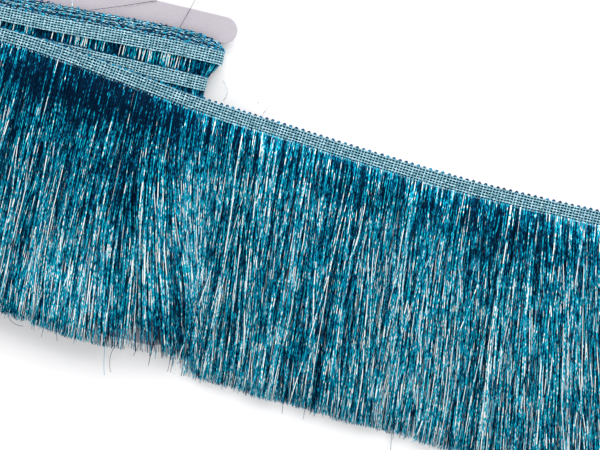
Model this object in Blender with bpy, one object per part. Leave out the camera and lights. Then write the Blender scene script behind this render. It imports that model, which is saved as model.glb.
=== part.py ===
"""Metallic chainette fringe trim, wound flat round a card, with its loose end laid out beside it.

Metres, +Z up. X runs along the card, +Y from the fringe's cut ends towards the heading.
The origin is the middle of the winding's underside, on the surface that everything rests on.
"""

import math
from collections import namedtuple

import bmesh
import bpy

# Driving sizes of the card
CARD_WIDTH = 0.180
CARD_HEIGHT = 0.184
CARD_THICK = 0.0022
CARD_UNDERSIDE = 0.0060  # above the surface, on the back of the winding
CARD_EDGE_BEVEL = 0.0003
TAB_HEIGHT = 0.0147
TAB_REACH = 0.0145  # past the waist that the trim is wound round
SHOULDER_RADIUS = 0.003
GAP = 0.0003  # between pieces that lie on each other

# Driving sizes of the trim
HEADING_WIDTH = 0.0087
HEADING_THICK = 0.0012
CHAIN_ROWS = 6
ROW_GROOVE = 0.25  # of the heading's thickness
FRINGE_LENGTH = 0.140

# The winding: how high its layers lie on the front and the back, and how far they bulge
# past where the flat stretch starts to turn round the card's edge
Level = namedtuple("Level", "front back bulge")
WAIST_HALF = CARD_WIDTH / 2 - TAB_REACH
TURN_X = WAIST_HALF - 0.0005
INSIDE = Level(CARD_UNDERSIDE + CARD_THICK + GAP, CARD_UNDERSIDE - GAP, 0.0010)
OLDER_FRINGE = Level(0.0127, 0.0013, 0.0040)
OUTER_FRINGE = Level(0.0139, 0.0, 0.0052)
OUTER_HEADING = Level(0.0144, 0.0, 0.0057)
STACKED_HEADING = Level(0.0146, 0.0, 0.0114)
LAST_UNDER = Level(0.0147, -0.0003, 0.0060)
LAST_OVER = Level(0.0159, -0.0015, 0.0072)
LAST_START_ANGLE = 200  # where the last turn's heading comes into view on the left edge
TURN_STEPS = 8

STACK_FOOT = 0.0652  # y of the stacked headings' lower edge at the right
STACK_DRIFT = 0.0038  # how much lower it lies towards the left
DRIFT_END_X = -0.039
OLDER_REACHES = (0.0024, 0.0047, 0.0068)  # how far older headings show above the top one
OLDER_REACHES_AT_EDGE = (0.0012, 0.0022, 0.0030)
INSIDE_REACH_AT_EDGE = 0.0006  # the innermost one clears the tab's shoulder
REACH_FADE_X = 0.066  # from here to the card's edge the older headings draw in
OUTER_FOOT = 0.0494  # y of the outer turn's heading's lower edge
FRINGE_END_Y = -0.0900
FRINGE_END_UNEVEN = 0.0018
FRINGE_END_RISE = 0.0080  # the cut ends draw up towards the card's edges
RISE_START_X = 0.050
BUNCH_PITCH = 0.0050  # the wound fringe's bunches of strands, as ridges on the front
BUNCH_HEIGHT = 0.0004

# The last turn's heading from above: it leaves the card at a slant, then settles on the surface
Course = namedtuple("Course", "x y")
COURSE = (
    Course(-0.0750, 0.0540),
    Course(-0.0350, 0.0540),
    Course(-0.0070, 0.0523),
    Course(0.0200, 0.0492),
    Course(0.0805, 0.0417),
    Course(0.1295, 0.0382),
    Course(0.1637, 0.0356),
    Course(0.2360, 0.0318),
    Course(0.3046, 0.0318),
    Course(0.3350, 0.0323),
)
DROP_START_X = 0.079
HEADING_LANDS_X = 0.128
FRINGE_LANDS_X = 0.112
COURSE_STEP = 0.012
DROP_STEP = 0.0045

# Locks of fringe on the last turn and the loose end
LOCK_PITCH = 0.00178
LOCK_WIDTH = 0.00145
LOCK_THICK = 0.0011
LOCK_SHARE = 0.82  # of the room between neighbours, where locks draw together
LOCK_UNEVEN = 0.0022
FAN_SHORT = 0.0055  # locks that slide off the card's edge reach less far
FAN_SHORT_WIDTH = 0.013
LOCK_LIFT = 0.0004
LOCK_PIECES = 24
ROOT_WIDTH = 0.0016
SETTLE_LENGTH = 0.050  # a lock comes down to what it lies on within this length

# Degrees that locks lean towards +X at the root and the cut end, over the card and beside it,
# with more where they slide off the card's edge, and more at the loose end's far end
Lean = namedtuple("Lean", "root end")
LEAN_OVER_CARD = Lean(-1.5, 4.5)
LEAN_BESIDE_CARD = Lean(4.5, 6.5)
LEAN_TURNS_FROM_X = 0.035
LEAN_TURNS_TO_X = 0.110
FAN_LEAN = 11.0
FAN_X = 0.068
FAN_WIDTH_LEFT = 0.011
FAN_WIDTH_RIGHT = 0.028
FAR_LEAN = 7.0
FAR_FROM_X = 0.225
FAR_TO_X = 0.310

MATERIALS = {
    "card": ((0.62, 0.58, 0.64), 0.75, 0.0),
    "heading_yarn": ((0.27, 0.53, 0.60), 0.65, 0.1),
    "metallic_fringe": ((0.01, 0.19, 0.28), 0.35, 0.7),
}


def clear_scene():
    for obj in list(bpy.data.objects):
        bpy.data.objects.remove(obj)


def material(name):
    found = bpy.data.materials.get(name)
    if found:
        return found
    colour, roughness, metallic = MATERIALS[name]
    made = bpy.data.materials.new(name)
    made.use_nodes = True
    shader = made.node_tree.nodes["Principled BSDF"]
    shader.inputs["Base Color"].default_value = (*colour, 1.0)
    shader.inputs["Roughness"].default_value = roughness
    shader.inputs["Metallic"].default_value = metallic
    made.diffuse_color = (*colour, 1.0)
    return made


def finished(name, bm, material_name):
    """Makes the bmesh an object whose faces point outwards."""
    bmesh.ops.recalc_face_normals(bm, faces=bm.faces)
    mesh = bpy.data.meshes.new(name)
    bm.to_mesh(mesh)
    bm.free()
    mesh.materials.append(material(material_name))
    obj = bpy.data.objects.new(name, mesh)
    bpy.context.scene.collection.objects.link(obj)
    return obj


def smoothstep(t):
    t = min(1.0, max(0.0, t))
    return t * t * (3 - 2 * t)


def spread(start, end, pitch):
    """Evenly spaced values from start to end, about a pitch apart."""
    count = max(1, round(abs(end - start) / pitch))
    return [start + (end - start) * i / count for i in range(count + 1)]


def lofted(bm, sections, closed):
    """Joins like sections of points by quads, round a closed lap or between two end caps."""
    rows = [[bm.verts.new(point) for point in section] for section in sections]
    count = len(rows[0])
    laps = len(rows) if closed else len(rows) - 1
    for i in range(laps):
        here, after = rows[i], rows[(i + 1) % len(rows)]
        for k in range(count):
            n = (k + 1) % count
            bm.faces.new((here[k], here[n], after[n], after[k]))
    if not closed:
        bm.faces.new(rows[0])
        bm.faces.new(rows[-1])


# The card


def arc(centre_x, centre_y, radius, start, end, steps):
    """Points of an arc, in degrees."""
    turns = (math.radians(start + (end - start) * i / steps) for i in range(steps + 1))
    return [(centre_x + radius * math.cos(a), centre_y + radius * math.sin(a)) for a in turns]


def card_outline():
    """A waist between two tabs with half-round ends, anticlockwise from above."""
    half_width, half_height, radius = CARD_WIDTH / 2, CARD_HEIGHT / 2, TAB_HEIGHT / 2
    neck = half_height - TAB_HEIGHT
    shoulder = arc(
        WAIST_HALF + SHOULDER_RADIUS, neck - SHOULDER_RADIUS, SHOULDER_RADIUS, 180, 90, 3
    )
    upper = shoulder + arc(half_width - radius, half_height - radius, radius, -90, 90, 10)
    right = [(x, -y) for x, y in reversed(upper)] + upper
    return right + [(-x, y) for x, y in reversed(right)]


def make_card():
    bm = bmesh.new()
    outline = [bm.verts.new((x, y, CARD_UNDERSIDE)) for x, y in card_outline()]
    face = bm.faces.new(outline)
    extruded = bmesh.ops.extrude_face_region(bm, geom=[face])
    lifted = [v for v in extruded["geom"] if isinstance(v, bmesh.types.BMVert)]
    bmesh.ops.translate(bm, verts=lifted, vec=(0, 0, CARD_THICK))
    rims = [e for e in bm.edges if abs(e.verts[0].co.z - e.verts[1].co.z) < CARD_EDGE_BEVEL]
    bmesh.ops.bevel(bm, geom=rims, offset=CARD_EDGE_BEVEL, affect="EDGES", segments=1)
    return finished("card", bm, "card")


# The winding

Station = namedtuple("Station", "x angle")  # along the flat stretch, and round the card's edge


def place(station, level, y):
    """A point of the winding, by its station along the lap and the level of its layer."""
    middle, half = (level.front + level.back) / 2, (level.front - level.back) / 2
    a = math.radians(station.angle)
    return (station.x + level.bulge * math.cos(a), y, middle + half * math.sin(a))


def grown(level, by):
    """The level this much further from the card, on the front and the edge."""
    return Level(level.front + by, level.back, level.bulge + by)


def sunk(level, by):
    """The level this much nearer the card all round."""
    return Level(level.front - by, level.back + by, level.bulge - by)


def full_lap():
    """Stations along the front, round the right edge, along the back and round the left."""
    edge_angles = [90 - 180 * i / TURN_STEPS for i in range(1, TURN_STEPS)]
    lap = [Station(x, 90) for x in spread(-TURN_X, TURN_X, BUNCH_PITCH / 2)]
    lap += [Station(TURN_X, a) for a in edge_angles]
    lap += [Station(x, -90) for x in spread(TURN_X, -TURN_X, 10 * BUNCH_PITCH)]
    lap += [Station(-TURN_X, 180 - a) for a in reversed(edge_angles)]
    return lap


def chain_rows():
    """(share of the width, share of the thickness) across a heading, ribbed by its chains."""
    for i in range(2 * CHAIN_ROWS + 1):
        yield i / (2 * CHAIN_ROWS), 1.0 if i % 2 else 1 - ROW_GROOVE


def heading_ribs(station, level, foot):
    """Points across a wound heading's face."""
    for across, thick in chain_rows():
        ribbed = sunk(level, HEADING_THICK * (1 - thick))
        yield place(station, ribbed, foot + HEADING_WIDTH * across)


def older_edges(station, edge):
    """Edges of the older headings that show above the top one, each a step nearer the card."""
    inward = smoothstep((TURN_X - abs(station.x)) / (TURN_X - REACH_FADE_X))
    y = edge
    for k, reaches in enumerate(zip(OLDER_REACHES_AT_EDGE, OLDER_REACHES)):
        level = sunk(STACKED_HEADING, HEADING_THICK * (k + 1))
        yield place(station, level, y)
        y = edge + reaches[0] + (reaches[1] - reaches[0]) * inward
        yield place(station, level, y)
    inside = INSIDE_REACH_AT_EDGE + (OLDER_REACHES[-1] - INSIDE_REACH_AT_EDGE) * inward
    yield place(station, INSIDE, edge + inside)


def make_winding():
    """All the wound turns as one body: the fringe's bunches, the outer turn's heading, a strip
    of the older fringe, and the stacked headings."""
    sections = []
    for i, s in enumerate(full_lap()):
        bunch = grown(OUTER_FRINGE, BUNCH_HEIGHT if i % 2 and s.angle != -90 else 0)
        rise = FRINGE_END_RISE * smoothstep((abs(s.x) - RISE_START_X) / (TURN_X - RISE_START_X))
        end = FRINGE_END_Y + rise + FRINGE_END_UNEVEN * math.sin(2.4 * i)
        drift = STACK_DRIFT * smoothstep((TURN_X - s.x) / (TURN_X - DRIFT_END_X))
        foot = STACK_FOOT - drift
        section = [place(s, INSIDE, end), place(s, bunch, end), place(s, bunch, OUTER_FOOT)]
        section += heading_ribs(s, OUTER_HEADING, OUTER_FOOT)
        section.append(place(s, OLDER_FRINGE, OUTER_FOOT + HEADING_WIDTH))
        section.append(place(s, OLDER_FRINGE, foot))
        section += heading_ribs(s, STACKED_HEADING, foot)
        section += older_edges(s, foot + HEADING_WIDTH)
        sections.append(section)
    bm = bmesh.new()
    lofted(bm, sections, closed=True)
    winding = finished("winding", bm, "metallic_fringe")
    cut = winding.modifiers.new("tab", "BOOLEAN")
    cut.operation = "DIFFERENCE"
    cut.object = tab_cutter()


def tab_cutter():
    """Room for the lower tab and its shoulders, between the fringe in front of it and behind it."""
    low = CARD_UNDERSIDE - 2 * GAP
    height = CARD_THICK + 4 * GAP
    top_y = -CARD_HEIGHT / 2 + TAB_HEIGHT + SHOULDER_RADIUS + GAP
    size = (1.2 * CARD_WIDTH, 2 * (TAB_HEIGHT + SHOULDER_RADIUS), height)
    bm = bmesh.new()
    bmesh.ops.create_cube(bm, size=1)
    bmesh.ops.scale(bm, vec=size, verts=bm.verts)
    bmesh.ops.translate(bm, vec=(0, top_y - size[1] / 2, low + height / 2), verts=bm.verts)
    cutter = finished("tab_cutter", bm, "card")
    cutter.hide_render = True
    cutter.display_type = "WIRE"
    return cutter


# The loose end's heading, from the card's left edge across the front and down to the surface


def course_y(x):
    """Where the heading's centre line lies: a smooth curve through COURSE."""
    i = 0
    while i < len(COURSE) - 2 and x > COURSE[i + 1].x:
        i += 1
    a, b = COURSE[i], COURSE[i + 1]

    def slope(k):
        before, after = COURSE[max(0, k - 1)], COURSE[min(len(COURSE) - 1, k + 1)]
        return (after.y - before.y) / (after.x - before.x)

    span = b.x - a.x
    t = (x - a.x) / span
    return (
        a.y * (2 * t**3 - 3 * t**2 + 1)
        + b.y * (3 * t**2 - 2 * t**3)
        + span * slope(i) * (t**3 - 2 * t**2 + t)
        + span * slope(i + 1) * (t**3 - t**2)
    )


def heading_rest(x):
    """Height of the heading's underside above the surface."""
    return LAST_UNDER.front * smoothstep((HEADING_LANDS_X - x) / (HEADING_LANDS_X - DROP_START_X))


def band_section(under, over, y):
    """A heading's cross-section: flat underneath, ribbed by its chains on the face."""
    low = y - HEADING_WIDTH / 2
    section = [(under[0], low + HEADING_WIDTH, under[2]), (under[0], low, under[2])]
    for across, thick in chain_rows():
        x = under[0] + (over[0] - under[0]) * thick
        z = under[2] + (over[2] - under[2]) * thick
        section.append((x, low + HEADING_WIDTH * across, z))
    return section


def make_loose_heading():
    sections = []
    for angle in spread(LAST_START_ANGLE, 90, 180 / TURN_STEPS):
        s = Station(-TURN_X, angle)
        y = COURSE[0].y
        sections.append(band_section(place(s, LAST_UNDER, y), place(s, LAST_OVER, y), y))
    xs = spread(COURSE[0].x, DROP_START_X, COURSE_STEP)[1:]
    xs += spread(DROP_START_X, HEADING_LANDS_X, DROP_STEP)[1:]
    xs += spread(HEADING_LANDS_X, COURSE[-1].x, COURSE_STEP)[1:]
    for x in xs:
        z = heading_rest(x)
        sections.append(band_section((x, 0, z), (x, 0, z + HEADING_THICK), course_y(x)))
    bm = bmesh.new()
    lofted(bm, sections, closed=False)
    finished("heading_loose", bm, "heading_yarn")


# The loose end's fringe, as locks on a narrow strip that lies along the heading's lower edge


def fringe_rest(x):
    """Height of what a lock comes to lie on: the winding, the slope past its edge, or the surface."""
    top = OUTER_FRINGE.front + BUNCH_HEIGHT + GAP
    return top * smoothstep((FRINGE_LANDS_X - x) / (FRINGE_LANDS_X - DROP_START_X))


def lean(x, share):
    """Degrees that a lock with this root leans towards +X, this share of the way along it."""
    beside = smoothstep((x - LEAN_TURNS_FROM_X) / (LEAN_TURNS_TO_X - LEAN_TURNS_FROM_X))
    over_card, beside_card = (
        ends.root + (ends.end - ends.root) * share for ends in (LEAN_OVER_CARD, LEAN_BESIDE_CARD)
    )
    width = FAN_WIDTH_LEFT if x < FAN_X else FAN_WIDTH_RIGHT
    fan = FAN_LEAN * math.exp(-(((x - FAN_X) / width) ** 2)) * smoothstep(2.2 * share)
    far = FAR_LEAN * smoothstep((x - FAR_FROM_X) / (FAR_TO_X - FAR_FROM_X))
    return over_card + (beside_card - over_card) * beside + fan + far


def root_y(x):
    return course_y(x) - HEADING_WIDTH / 2 - GAP - ROOT_WIDTH


def lock_path(root_x, length, steps):
    """(x, y, height of the underside) along a lock's middle, from its root to its cut end."""
    x, y = root_x, root_y(root_x)
    lifted = heading_rest(root_x) - fringe_rest(root_x)
    path = [(x, y, heading_rest(root_x))]
    for i in range(1, LOCK_PIECES + 1):
        a = math.radians(lean(root_x, (i - 0.5) / LOCK_PIECES))
        x += length / LOCK_PIECES * math.sin(a)
        y -= length / LOCK_PIECES * math.cos(a)
        if i * steps % LOCK_PIECES == 0:
            settled = smoothstep(length * i / LOCK_PIECES / SETTLE_LENGTH)
            path.append((x, y, fringe_rest(x) + lifted * (1 - settled)))
    return path


def strip_section(x):
    high, low = root_y(x) + ROOT_WIDTH, root_y(x)
    under, top = heading_rest(x), heading_rest(x) + LOCK_THICK
    return [(x, high, under), (x, high, top), (x, low, top), (x, low, under)]


def add_lock(bm, path, beside, lift, root):
    """A four-sided lock from its root's corners: left top, right top, right low, left low."""
    ring = root
    for step in range(1, len(path)):
        x, y, z = path[step]
        room = min(abs(other[step][0] - x) for other in beside)
        half = min(LOCK_WIDTH, LOCK_SHARE * room) / 2
        low = z + lift * min(1.0, fringe_rest(x) / OUTER_FRINGE.front)
        top = low + LOCK_THICK
        corners = ((x - half, y, top), (x + half, y, top), (x + half, y, low), (x - half, y, low))
        after = [bm.verts.new(c) for c in corners]
        for k in range(4):
            n = (k + 1) % 4
            bm.faces.new((ring[k], ring[n], after[n], after[k]))
        ring = after
    bm.faces.new(ring)


def make_locks(name, start_x, end_x, steps):
    """Locks side by side on one strip; steps are the straight stretches along each lock."""
    count = round((end_x - start_x) / LOCK_PITCH)
    roots = [start_x + (end_x - start_x) * (i + 0.5) / count for i in range(count)]
    paths = []
    for i, root in enumerate(roots):
        short = LOCK_UNEVEN * (0.5 + 0.5 * math.sin(1.9 * i))
        short += FAN_SHORT * math.exp(-(((root - FAN_X) / FAN_SHORT_WIDTH) ** 2))
        paths.append(lock_path(root, FRINGE_LENGTH - ROOT_WIDTH - short, steps))

    edges = [start_x]
    for root in roots:
        edges += [root - LOCK_WIDTH / 2, root + LOCK_WIDTH / 2]
    edges.append(end_x)

    bm = bmesh.new()
    rows = [[bm.verts.new(p) for p in strip_section(x)] for x in edges]
    for i, (here, after) in enumerate(zip(rows, rows[1:])):
        holds_lock = i % 2 == 1
        for k in range(4):
            n = (k + 1) % 4
            if not (holds_lock and k == 2):
                bm.faces.new((here[k], here[n], after[n], after[k]))
        if holds_lock:
            lock = i // 2
            beside = [paths[k] for k in (lock - 1, lock + 1) if 0 <= k < count]
            lift = LOCK_LIFT * (lock % 2)
            add_lock(bm, paths[lock], beside, lift, (here[2], after[2], after[3], here[3]))
    bm.faces.new(rows[0])
    bm.faces.new(rows[-1])
    finished(name, bm, "metallic_fringe")


def main():
    clear_scene()
    make_card()
    make_winding()
    make_loose_heading()
    make_locks("fringe_last_turn", COURSE[0].x, HEADING_LANDS_X - GAP / 2, steps=4)
    make_locks("fringe_loose", HEADING_LANDS_X + GAP / 2, COURSE[-1].x, steps=2)


main()
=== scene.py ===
"""Looks of a metallic chainette fringe trim, wound flat round a card, its loose end laid out.

Metres, in the model's own frame: +X along the card towards the loose end, +Y from the fringe's
cut ends towards the heading, +Z up. The trim is made of its yarns: chain stitches, cross yarns
and picot loops on the headings, and strands of metallic chainette in the fringe. The yarns lie
on the levels and courses that the solids have, and dark grounds close what shows between them:
the deeper yarns, painted dark as their shade.
"""

import math
from collections import namedtuple

import bmesh
import bpy
import numpy as np
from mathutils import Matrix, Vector


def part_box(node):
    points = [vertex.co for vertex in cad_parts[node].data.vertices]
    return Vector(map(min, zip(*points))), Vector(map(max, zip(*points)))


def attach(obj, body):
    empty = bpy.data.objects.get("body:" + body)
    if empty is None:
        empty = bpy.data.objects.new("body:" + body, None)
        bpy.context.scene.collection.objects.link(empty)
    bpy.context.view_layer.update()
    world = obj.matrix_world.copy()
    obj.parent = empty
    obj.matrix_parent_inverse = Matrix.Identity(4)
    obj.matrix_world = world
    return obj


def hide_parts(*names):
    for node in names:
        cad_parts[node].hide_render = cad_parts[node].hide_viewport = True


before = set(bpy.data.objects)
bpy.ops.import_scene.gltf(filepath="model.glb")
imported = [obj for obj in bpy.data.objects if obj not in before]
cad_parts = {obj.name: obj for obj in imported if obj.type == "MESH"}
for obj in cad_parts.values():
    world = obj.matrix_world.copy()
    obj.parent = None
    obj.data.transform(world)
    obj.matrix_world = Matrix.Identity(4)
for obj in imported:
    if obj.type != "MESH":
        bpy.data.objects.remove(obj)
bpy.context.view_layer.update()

bl_info = {
    "name": "Chainette Fringe Trim",
    "version": (1, 0, 0),
    "blender": (4, 5, 0),
    "location": "3D View > Sidebar > Fringe Trim",
    "description": "Dresses a chainette fringe trim that is wound on a card",
    "category": "Add Mesh",
}

MM = 0.001

# Sizes that the solids have, repeated here for the yarns that lie on them
GAP = 0.3 * MM
CARD_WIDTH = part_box("card")[1][0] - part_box("card")[0][0]
CARD_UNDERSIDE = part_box("card")[0][2]
CARD_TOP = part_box("card")[1][2]
TAB_REACH = 14.5 * MM
TURN_X = CARD_WIDTH / 2 - TAB_REACH - 0.5 * MM
TAB_NECK_Y = -74.2 * MM
TAB_NECK_Z = (5 * MM, 9.4 * MM)
HEADING_THICK = 1.2 * MM

# Heights of a layer's front and back, and how far it bulges past TURN_X where it turns
Level = namedtuple("Level", "front back bulge")
INSIDE = Level(CARD_TOP + GAP, CARD_UNDERSIDE - GAP, 1.0 * MM)
OLDER_FRINGE_TOP = Level(13.0 * MM, 1.0 * MM, 10.1 * MM)
OLDER_FRINGE = Level(12.7 * MM, 1.3 * MM, 4.8 * MM)
OUTER_FRINGE = Level(13.9 * MM, 0.0, 5.2 * MM)
OUTER_HEADING = Level(14.4 * MM, 0.0, 5.7 * MM)
STACKED_HEADING = Level(14.6 * MM, 0.0, 11.4 * MM)
LAST_UNDER = Level(14.7 * MM, -0.3 * MM, 6.0 * MM)

# Lower edges of the wound headings, and how far older ones' edges show above the top one's
STACK_FOOT = 65.2 * MM
STACK_DRIFT = 3.8 * MM
DRIFT_END_X = -39 * MM
OLDER_REACHES = np.array([2.4, 4.7, 6.8]) * MM
OLDER_REACHES_AT_EDGE = np.array([1.2, 2.2, 3.0]) * MM
INSIDE_REACH_AT_EDGE = 0.6 * MM
REACH_FADE_X = 66 * MM
REACH_SHARE_AT_TURN = 0.82
OUTER_FOOT = 49.4 * MM

# Where the loose heading's middle line lies after its turn, and where it and its fringe come down
Course = namedtuple("Course", "x y")
COURSE = (
    Course(-0.0750, 0.0540),
    Course(-0.0350, 0.0540),
    Course(-0.0070, 0.0523),
    Course(0.0200, 0.0492),
    Course(0.0805, 0.0417),
    Course(0.1295, 0.0382),
    Course(0.1637, 0.0356),
    Course(0.2360, 0.0318),
    Course(0.3046, 0.0318),
    Course(0.3350, 0.0323),
)
LAST_START_ANGLE = 200
DROP_START_X = 79 * MM
HEADING_LANDS_X = 128 * MM
FRINGE_LANDS_X = 112 * MM
SETTLE_LENGTH = 50 * MM
FRINGE_REST = 14.3 * MM

# A heading's yarns: legs of a stitch from its start to past its end, cross bars and picots
EDGE_ROW = 0.45 * MM
LEG_SHARES = np.array([0.0, 0.3, 0.7, 1.15])
LEG_RADII = np.array([0.12, 0.165, 0.165, 0.11]) * MM
LEG_SPREAD = (0.07 * MM, 0.13 * MM)
LEG_RISE = (0.62 * MM, 0.34 * MM)
UNEVEN = 0.05 * MM
RAISED_BARS = 0.45
BAR_HEIGHTS = (0.66 * MM, 0.52 * MM)
BAR_RADII = (0.23 * MM, 0.20 * MM)
BAR_SLANT = 0.3 * MM
PICOT_RADIUS = 0.48 * MM
PICOT_HALF_WIDTH = 0.66 * MM
PICOT_TONE = 0.30
OLDER_EDGES = 5
OLDER_PICOT_TONE = 0.42
OLDER_UNEVEN = 0.28 * MM
STACK_PRESSED = 0.85
LOOSE_SPREAD = 0.6 * MM
PICOT_SLACK = 0.8 * MM

# A stitch's strands that lie below the others, what the heading covers of them, loose threads
UNDER_STRANDS = 6
ROOT_OVERLAP = 0.7 * MM
THREAD_RADIUS = 0.14 * MM

# What rises and falls round a middle
Bell = namedtuple("Bell", "height middle width")

# Degrees that strands lean towards +X, much as the solids' locks do, with a fan at the card's edge
Lean = namedtuple("Lean", "root end")
LEAN_OVER_CARD = Lean(-1.5, 4.5)
LEAN_BESIDE_CARD = Lean(4.0, 5.5)
LEAN_TURNS_X = (35 * MM, 110 * MM)
FAN_LEAN = 14.5
FAN_X = 72 * MM
FAN_WIDTHS = (18 * MM, 20 * MM)
FAR_LEAN = 7.0
FAR_X = (225 * MM, 310 * MM)

# The cut ends, which lack a little where the strands fan out and in a slight hollow beyond
RAGGED = 1.6 * MM
LONGER_SHARE = 0.006
LONGER_BY = (1.5 * MM, 5 * MM)
FAN_SHORT = Bell(4.0 * MM, FAN_X, 13 * MM)
HOLLOW = Bell(2.8 * MM, 206 * MM, 36 * MM)

# Where few strands reach as far as the cut ends, so that the card's lower tab shows between them
THIN_TIPS = Bell(0.82, 58 * MM, 6.5 * MM)
THINNED_BY = (2 * MM, 16 * MM)

# Degrees that strands wander from their lean: strays and others, by stitch, by lock and alone
STRAY_SHARE = 0.2
STRAY_LEANS = (5.0, 1.6)
STITCH_WAVE = 2.4
LOCK_SWEEP = 1.6
OWN_WIGGLE = 2.8

# The loose pile's height at its roots, its rise from there, and its drop past the winding's rim
PILE_FOOT = 1.1 * MM
PILE_RISE = 1.8 * MM
PILE_RISE_BESIDE = 4.6 * MM
PILE_X = (75 * MM, 125 * MM)
RIM_DROP = 1.6 * MM
RIM_SLOPE = 9 * MM
RIM_X = (95 * MM, 78 * MM)

# Tones of the loose strands, from dark at 0 to pale at 1, with painted shade on the lower strands,
# at the tips and just below the heading, and bold strands painted paler as light
MEAN_TONE = 0.57
LOW_PAINTED_SHADE = 0.36
BOLD_SHARE = 0.3
BOLD_PAINTED_LIGHT = 0.06
TIP_PAINTED_SHADE = 0.03
NECK_PAINTED_SHADE = Bell(0.14, 0.09, 0.10)
TONE_SPREAD = 0.23

# Where the wound strands end, and how these ends are drawn up towards the card's edges
WOUND_END_Y = -90 * MM
WOUND_RAGGED = (-2.5 * MM, 3.5 * MM)
WOUND_END_RISE = 8 * MM
WOUND_END_RISES_X = 50 * MM

# Layers of wound strands: their depth, their number and how many times a strand's thickness
WoundLayer = namedtuple("WoundLayer", "depth count thickness")
OLDER_DEEP_LAYER = WoundLayer(0.5 * MM, 560, 1.6)
OLDER_TOP_LAYER = WoundLayer(0.0, 320, 1.2)
OUTER_LAYERS = (
    WoundLayer(0.4 * MM, 900, 1.35),
    WoundLayer(1.0 * MM, 500, 1.35),
    WoundLayer(1.8 * MM, 300, 1.35),
)

# Their tones: the older top ones are pale, teal or dark, more often pale round a spot
OLDER_DEEP_TONE = 0.24
OLDER_TONES = (1.05, 0.50, 0.16)
OLDER_SHARES = (0.32, 0.22)
OLDER_PALE_SPOT = Bell(0.24, 44 * MM, 24 * MM)
OLDER_EVEN_X = 69 * MM
OLDER_EVEN_TONE = 0.42
OUTER_TONE = 0.30
WOUND_TONE_SPREAD = 0.14
# Painted shade on the wound strands that lie sunk deeper
SUNK_PAINTED_SHADE = 0.12

# The dark ground below the wound yarns, painted dark as the shade between them
GROUND_END_Y = -84 * MM
GROUND_DRAWN_IN_X = (48 * MM, 60 * MM)
FRINGE_GROUND_DEPTH = 0.7 * MM
HEADING_GROUND_DEPTH = 0.85 * MM

# Soft patches, in millimetres, where the loose end's foil is made darker or paler: painted shade, as
# just below the heading, painted light, and tone that differs by place
Patch = namedtuple("Patch", "x y half_width half_height change")
LIGHT_SHADE_AND_TONE_PATCHES = (
    Patch(20, 44, 80, 26, -0.66),
    Patch(30, -8, 60, 32, -0.26),
    Patch(88, -76, 13, 14, -0.24),
    Patch(50, -75, 17, 14, 0.14),
    Patch(68, -44, 30, 32, 0.10),
    Patch(84, -21, 15, 24, 0.17),
    Patch(124, -24, 38, 26, -0.08),
    Patch(165, -54, 40, 44, -0.07),
    Patch(214, 20, 80, 20, -0.14),
    Patch(272, 6, 50, 30, -0.13),
    Patch(240, -90, 50, 24, 0.10),
)


class TrimSizes(bpy.types.PropertyGroup):
    heading_width: bpy.props.FloatProperty(
        name="Heading width", description="Across chain rows and picots",
        default=8.7 * MM, unit="LENGTH",
    )
    chain_rows: bpy.props.IntProperty(
        name="Chain rows", description="Rows of chain stitches across the heading",
        default=6,
    )
    stitch: bpy.props.FloatProperty(
        name="Stitch", description="Length of a chain stitch",
        default=1.74 * MM, unit="LENGTH",
    )
    picot_rise: bpy.props.FloatProperty(
        name="Picot rise", description="How far a picot loop stands out",
        default=1.0 * MM, unit="LENGTH",
    )
    fringe_length: bpy.props.FloatProperty(
        name="Fringe length", description="From the heading to the cut ends",
        default=0.140, unit="LENGTH",
    )
    strand_thickness: bpy.props.FloatProperty(
        name="Strand thickness", description="Across one strand",
        default=0.48 * MM, unit="LENGTH",
    )
    strands_per_stitch: bpy.props.IntProperty(
        name="Strands per stitch", description="Strands that leave the heading at each stitch",
        default=22,
    )


class TrimColours(bpy.types.PropertyGroup):
    yarn: bpy.props.FloatVectorProperty(
        name="Heading yarn", description="Pale chain-stitch yarn",
        default=(0.211, 0.466, 0.56), subtype="COLOR", size=3,
    )
    shadow: bpy.props.FloatVectorProperty(
        name="Foil in shade", description="Darkest foil",
        default=(0.0, 0.012, 0.034), subtype="COLOR", size=3,
    )
    deep: bpy.props.FloatVectorProperty(
        name="Deep foil", description="Foil turned away",
        default=(0.0, 0.067, 0.165), subtype="COLOR", size=3,
    )
    teal: bpy.props.FloatVectorProperty(
        name="Teal foil", description="The foil's own colour",
        default=(0.0, 0.26, 0.435), subtype="COLOR", size=3,
    )
    bright: bpy.props.FloatVectorProperty(
        name="Bright foil", description="Foil that faces the light",
        default=(0.01, 0.58, 0.74), subtype="COLOR", size=3,
    )
    glint: bpy.props.FloatVectorProperty(
        name="Glint", description="Foil that mirrors the light",
        default=(0.93, 1.0, 1.0), subtype="COLOR", size=3,
    )
    board: bpy.props.FloatVectorProperty(
        name="Card", description="The card's board",
        default=(0.338, 0.315, 0.35), subtype="COLOR", size=3,
    )


# Finishes

# What varies along a strand's foil: long stretches, glints and a fine flicker
Grain = namedtuple("Grain", "by_chance per_metre layer detail weight")
FOIL_GRAINS = (
    Grain(731.0, 50.0, 0.0, 1.0, 2.1),
    Grain(377.0, 150.0, 7.0, 1.0, 1.7),
    Grain(191.0, 620.0, 3.0, 0.0, 1.05),
)
# The foil's colour by level: painted shade, its own teal, painted light and painted glints
FOIL_STOPS = ((0.14, "shadow"), (0.32, "deep"), (0.50, "teal"), (0.80, "bright"), (0.97, "glint"))
WOUND_CONTRAST = 0.8
PICOT_CONTRAST = 0.32
STRAY_CONTRAST = 0.3
# Painted light on each loose strand's first few millimetres below the heading
ROOT_LIGHT = 0.16
ROOT_LIGHT_REACH = 3.8 * MM

# How the heading yarn's shaded and pale stretches differ from its own colour
YARN_SHADE = (0.2, 0.4, 0.44)
YARN_PALER = 1.1
YARN_WHITE = 0.25


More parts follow.
